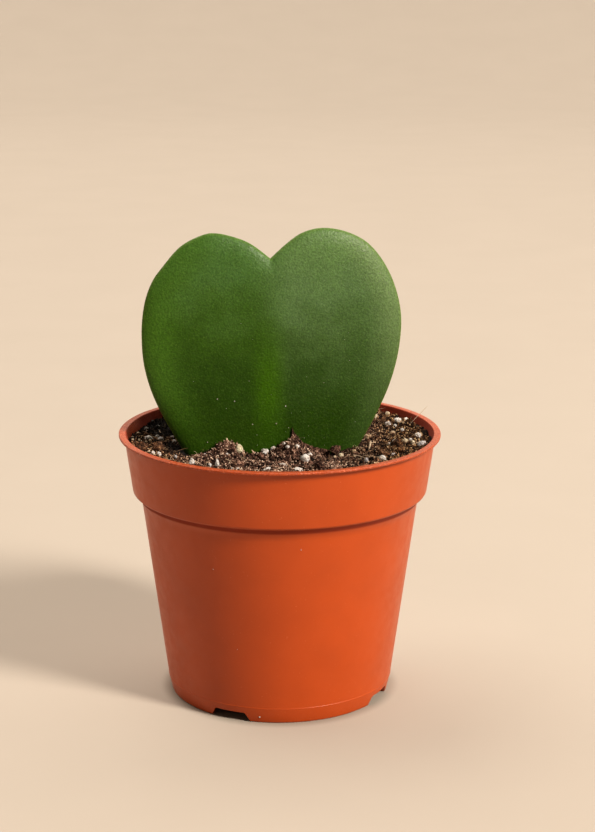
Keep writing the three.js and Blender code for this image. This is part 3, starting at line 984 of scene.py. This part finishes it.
def grain_mesh(name, grains, lumpiness, grit, material):
    """One mesh of lumpy grains: (x, y, half width, half height, tone, taper, lift, roughness)."""
    unit, unit_faces = ball(GRAIN_SUBDIVISIONS)
    random = np.random.default_rng(len(name))
    all_points = []
    for index, (x, y, width, height, _, taper, lift, rough) in enumerate(grains):
        push = roughen(unit, lumpiness, 0.8, index + 1) + roughen(unit, lumpiness / 2, 0.33, index)
        push = 1 + rough * (push + roughen(unit, grit, 0.17, index + 2))
        spin = Euler((0, 0, random.uniform(0, FULL_TURN))).to_matrix()
        lean = 0.4 * (1 - taper)
        tilt = Euler((random.uniform(-lean, lean), random.uniform(-lean, lean), 0)).to_matrix()
        shape = (unit @ np.array(spin).T) * push[:, None] * [width, (width + height) / 2, height]
        narrowing = 1 - taper * np.clip(shape[:, 2] / height * 0.6 + 0.5, 0, 1)
        shape = shape * np.column_stack([narrowing, narrowing, np.ones(len(shape))])
        middle = float(soil_height(x, y)) + height * (1 - 2 * GRAIN_SINK) + lift
        all_points.append(shape @ np.array(tilt).T + [x, y, middle])
    piece = link_copies(name, np.array(all_points), unit_faces)
    mottle = roughen(points_of(piece), grit, 0.5, 8)
    finish_ground(piece, np.repeat([grain[4] for grain in grains], len(unit)) + mottle, material)


def make_grains():
    """Perlite and lumps of peat: the listed grains, and others scattered among them."""
    placed_grains = [
        (*grain, *GRAIN_KINDS[kind]) for kind, grains in PLACED_PERLITE.items() for grain in grains
    ]
    placed = [(x, y, (width + height) / 2) for x, y, width, height, *_ in placed_grains]
    placed.append(LUMP_BESIDE_LEAF)
    scattered = scatter_among(placed, *PERLITE_SCATTER)
    lumps = scatter_among([*placed, *scattered], *LUMP_SCATTER)
    dusted = [grain for grain in scattered if grain[1] < DUSTED_IN_FRONT_OF or grain[0] > DUSTED_RIGHT_OF]
    clean = [grain for grain in scattered if grain not in dusted]
    grains = [(x, y, size, size * PERLITE_FLATNESS, PERLITE_TONE, 0, 0, 1) for x, y, size in clean]
    grains += [(*crumb, PALE_CRUMB_TONE, 0, PALE_CRUMB_LIFT, 1) for crumb in PALE_CRUMBS]
    peat_lumps = []
    for index, (x, y, size) in enumerate(lumps + dusted):
        tone = LUMP_TONE + LUMP_TONE_SPREAD * (index * GOLDEN_SHARE % 1)
        peat_lumps.append((x, y, size, size * 0.9, tone, 0, 0, 1))
    x, y, size = LUMP_BESIDE_LEAF
    peat_lumps.append((x, y, size, size * 0.8, 0.45, 0, LUMP_BESIDE_LEAF_LIFT, 0.6))
    grain_mesh("perlite_grains", placed_grains + grains, 0.2, 0.22, grain_material)
    grain_mesh("peat_lumps", peat_lumps, 0.5, 0.45, peat_material)


# How much painted shade darkens the soil and perlite at each place.
def painted_shade_at(x, y):
    painted_shade = np.zeros(len(x))
    for spot_x, spot_y, radius, share in SHADE_SPOTS:
        away = ((x - spot_x) ** 2 + (y - spot_y) ** 2) / radius ** 2
        painted_shade = np.maximum(painted_shade, share * np.exp(-away ** 2))
    return painted_shade


def finish_ground(piece, tone, material):
    """Gives a piece of the ground its tones, its painted shade, its material and its place in the part."""
    points = points_of(piece)
    set_attribute(piece, "tone", tone)
    to_right = (points[:, 0] - SANDY_FROM) / SANDY_SPREAD
    to_left = np.clip((-points[:, 0] - SANDY_LEFT_FROM) / SANDY_LEFT_SPREAD, 0, 1)
    sandy = np.clip(np.maximum(to_right, to_left * SANDY_LEFT_SHARE), 0, 1)
    set_attribute(piece, "sandy", sandy)
    set_attribute(piece, "painted_shade", painted_shade_at(points[:, 0], points[:, 1]))
    piece.data.materials.clear()
    piece.data.materials.append(material)
    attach(piece, "root")


def scattered_spots(random, count, size):
    """Random places for pieces of those sizes, on the soil, inside the pot and clear of the leaf."""
    distance = SOIL_REACH * np.sqrt(random.random(count))
    angle = 2 * np.pi * random.random(count)
    x, y = distance * np.cos(angle), distance * np.sin(angle)
    keep = clear_of_leaf(x, y, size * 0.8) & (distance + size < SOIL_REACH - 0.15)
    return x[keep], y[keep], size[keep]


def make_crumbs(name, seed, count, smallest, largest, tones, lift, stretch):
    """Small angular crumbs, in one mesh, that lie about on the soil."""
    random = np.random.default_rng(seed)
    sizes = smallest + (largest - smallest) * random.random(count) ** 2.5
    x, y, size = scattered_spots(random, count, sizes)
    unit, unit_faces = ball(1)
    total = len(x)
    shape = unit[None] * (1 + random.uniform(-0.38, 0.38, (total, len(unit), 1)))
    shape = shape * random.uniform(0.6, 1.15, (total, 1, 3)) * stretch
    angles = random.uniform(0, FULL_TURN, (total, 3)) * [0.25, 0.25, 1]
    turns = np.array([np.array(Euler(turn).to_matrix()) for turn in angles])
    shape = np.einsum("nij,nkj->nki", turns, shape) * size[:, None, None]
    z = crumbled_height(x, y) + CRUMB_RISE + size * lift + random.uniform(-UNEVEN, UNEVEN, total)
    centres = np.column_stack([x, y, z])
    piece = link_copies(name, shape + centres[:, None, :], unit_faces, 20)
    low, high, bias = tones
    tone = low + (high - low) * random.random(total) ** bias + roughen(centres, PATCHINESS, 2.8, 15)
    tone = tone + CRUMB_BANK_TONE * bank_rise(x, y)
    finish_ground(piece, np.repeat(tone, len(unit)), peat_material)


def thread(path, radius):
    """Points and faces of a tapered thread along a path of points."""
    path = np.asarray(path, dtype=float)
    along = np.gradient(path, axis=0)
    along /= np.linalg.norm(along, axis=1)[:, None]
    across = np.cross(along, [0.0, 0.0, 1.0]) + [1e-6, 0, 0]
    across /= np.linalg.norm(across, axis=1)[:, None]
    upward = np.cross(across, along)
    width = radius * np.sqrt(np.clip(1 - np.linspace(-1, 1, len(path)) ** 2, 0.06, 1))
    rings = []
    for angle in np.linspace(0, 2 * np.pi, FIBRE_SIDES, endpoint=False):
        rings.append(path + (across * math.cos(angle) + upward * math.sin(angle)) * width[:, None])
    return skin(path[:1], np.stack(rings, axis=1), path[-1:])


def make_fibres():
    """Root and peat fibres: a few listed ones, and many short ones that lie about."""
    random = np.random.default_rng(5)
    fibres = [(*chosen, 0) for chosen in PLACED_FIBRES]
    x, y, _ = scattered_spots(random, FIBRE_COUNT, np.full(FIBRE_COUNT, 1.5))
    for spot_x, spot_y in zip(x, y):
        heading, length = random.uniform(0, 360), random.uniform(1.2, 4.5)
        rise, radius, tone = random.uniform(-0.1, 0.5), random.uniform(0.05, 0.09), random.random()
        fibres.append((spot_x, spot_y, heading, length, rise, radius, tone, random.uniform(-0.9, 0.9)))
    all_points, all_faces, all_tones, start = [], [], [], 0
    for x, y, heading, length, rise, radius, tone, bend in fibres:
        share = np.linspace(0, 1, 9)
        turn = math.radians(heading) + bend * share
        path_x = x + share * length * np.cos(turn)
        path_y = y + share * length * np.sin(turn)
        z = soil_height(x, y) + FIBRE_LIFT + rise * length * share
        points, faces = thread(np.column_stack([path_x, path_y, z]), radius)
        all_points.append(points)
        all_faces += [tuple(start + corner for corner in face) for face in faces]
        all_tones.append(np.full(len(points), tone))
        start += len(points)
    piece = link_mesh("fibres", np.vstack(all_points), all_faces, 60)
    finish_ground(piece, np.concatenate(all_tones), fibre())


def make_bark_sliver():
    """A thin curled scrap of bark that stands against the leaf, with one pointed corner."""
    across = np.linspace(SLIVER_TOP[0][0], SLIVER_TOP[-1][0], 133)
    knots = np.array(SLIVER_TOP)
    top = np.interp(across, knots[:, 0], knots[:, 1])
    ragged = roughen(np.column_stack([across, top, top]), 0.35, 0.7, 6)
    top = top + np.where(top > SLIVER_PLAIN_ABOVE, 0, ragged)
    rows = []
    for row, share in enumerate(np.linspace(0, 1, 9)):
        z = top * (1 - share) + (SOIL_LEVEL - 2) * share
        face = fold_depth(across) - HALF_THICKNESS - 0.12
        curl = 0.9 * share ** 2 + 0.12 * np.sin(across * 2.3 + row)
        rows.append(leaf_to_world(np.column_stack([across, face - curl, z])))
    count = len(across)
    front = np.vstack(rows)
    back = front + np.array([math.sin(-LEAF_TURN), math.cos(LEAF_TURN), 0]) * -SLIVER_THICKNESS
    vertices = np.vstack([front, back])
    sheet = len(front)
    faces = []
    for row in range(len(rows) - 1):
        for k in range(count - 1):
            a, b = row * count + k, (row + 1) * count + k
            faces.append((a, b, b + 1, a + 1))
            faces.append((sheet + a, sheet + a + 1, sheet + b + 1, sheet + b))
    grid = np.arange(sheet).reshape(len(rows), count)
    border = np.concatenate([grid[0], grid[1:, -1], grid[-1, -2::-1], grid[-2:0:-1, 0]]).tolist()
    for a, b in zip(border, border[1:] + border[:1]):
        faces.append((a, b, sheet + b, sheet + a))
    piece = link_mesh("bark_sliver", vertices, faces, 50)
    make_outward(piece)
    tone = 0.42 + roughen(points_of(piece), 0.5, 0.5, 9)
    finish_ground(piece, tone, peat_material)


def make_dust():
    """Specks of peat dust and perlite on the leaf and on the pot's side."""
    random = np.random.default_rng(21)
    specks = [(across, z, DUST_RADIUS) for across, z in LEAF_DUST]
    for _ in range(DUST_COUNT):
        across = random.uniform(-DUST_REACH, DUST_REACH)
        z = DUST_FROM_Z + DUST_HEIGHT * random.random() ** 1.8
        specks.append((across, z, random.uniform(0.05, 0.1)))
    unit, unit_faces = ball(2)
    places, sizes = [], []
    for across, z, size in specks:
        flat = np.array([[across, z]])
        if distance_to_margin(flat)[0] < DUST_CLEARANCE:
            continue
        through = float(blade_middle(flat)[0]) - HALF_THICKNESS - 0.02
        places.append(leaf_to_world(np.array([[across, through, z]]))[0])
        sizes.append(size)
    for azimuth, z, size in POT_DUST:
        radii = [FOOT_BOTTOM_RADIUS, FOOT_TOP_RADIUS, BODY_TOP_RADIUS]
        radius = np.interp(z, [0, FOOT_TOP_Z, BODY_TOP_Z], radii)
        angle = math.radians(azimuth)
        places.append([radius * math.sin(angle), -radius * math.cos(angle), z])
        sizes.append(size)
    jitter = 1 + random.uniform(-0.35, 0.35, (len(places), len(unit), 1))
    shape = unit[None] * jitter * np.array(sizes)[:, None, None] * [1, 0.6, 1]
    piece = link_copies("dust_specks", shape + np.array(places)[:, None, :], unit_faces)
    finish_ground(piece, np.repeat(random.uniform(0.05, 0.3, len(places)), len(unit)), grain_material)


# ---- Stage, lights and camera ----

def make_stage():
    """A wide pale floor that curves up into a wall all round."""
    floor_radius, bend, wall_height, sides = 3200, 1400, 2600, 128
    corners = [(0, 0, 0), (floor_radius, 0, bend), (floor_radius, wall_height, 0)]
    rings = lathe_rings(rounded_profile(corners, 24)[1:], sides)
    vertices = np.vstack([[[0, 0, 0]], *rings])
    faces = [(0, 1 + k, 1 + (k + 1) % sides) for k in range(sides)]
    for ring in range(len(rings) - 1):
        low, high = 1 + ring * sides, 1 + (ring + 1) * sides
        for k in range(sides):
            following = (k + 1) % sides
            faces.append((low + k, high + k, high + following, low + following))
    stage = link_mesh("stage", vertices, faces, 60)
    stage.data.materials.append(stage_paint())


def area_light(name, azimuth, elevation, distance, size, power):
    """A soft light, size (wide, high) in metres, at an azimuth counted from -Y toward +X."""
    data = bpy.data.lights.new(name, "AREA")
    data.shape = "ELLIPSE"
    data.size, data.size_y = size
    data.energy = power
    data.color = LAMP_COLOUR
    lamp = bpy.data.objects.new(name, data)
    flat = distance * math.cos(math.radians(elevation))
    aim = Vector(LAMP_AIM)
    lamp.location = aim + Vector((
        flat * math.sin(math.radians(azimuth)),
        -flat * math.cos(math.radians(azimuth)),
        distance * math.sin(math.radians(elevation)),
    ))
    lamp.rotation_euler = (aim - lamp.location).to_track_quat("-Z", "Y").to_euler()
    lamp.visible_camera = False
    scene.collection.objects.link(lamp)


def make_lights():
    for lamp in LAMPS:
        area_light(*lamp)
    world = bpy.data.worlds.new("studio")
    world.use_nodes = True
    background = world.node_tree.nodes["Background"]
    background.inputs["Color"].default_value = srgb(240, 228, 216)
    background.inputs["Strength"].default_value = WORLD_STRENGTH
    scene.world = world


def make_camera():
    data = bpy.data.cameras.new("camera")
    data.sensor_fit = "VERTICAL"
    data.sensor_height = SENSOR
    data.lens = LENS
    data.clip_start = 0.02
    camera = bpy.data.objects.new("camera", data)
    camera.location = Vector(CAMERA_PLACE) * MM
    level = Matrix.Rotation(math.pi / 2 + CAMERA_PITCH, 4, "X")
    camera.rotation_euler = (level @ Matrix.Rotation(CAMERA_ROLL, 4, "Z")).to_euler()
    scene.collection.objects.link(camera)
    scene.camera = camera
    scene.view_settings.view_transform = "Standard"
    scene.view_settings.look = "Medium High Contrast"


make_camera()
make_lights()
make_stage()
make_pot()
leaf_blade = make_leaf()
peat_material = peat()
make_soil_bed(leaf_blade)
grain_material = perlite()
make_grains()
for crumb_kind in CRUMB_KINDS:
    make_crumbs(*crumb_kind)
make_fibres()
make_bark_sliver()
make_dust()
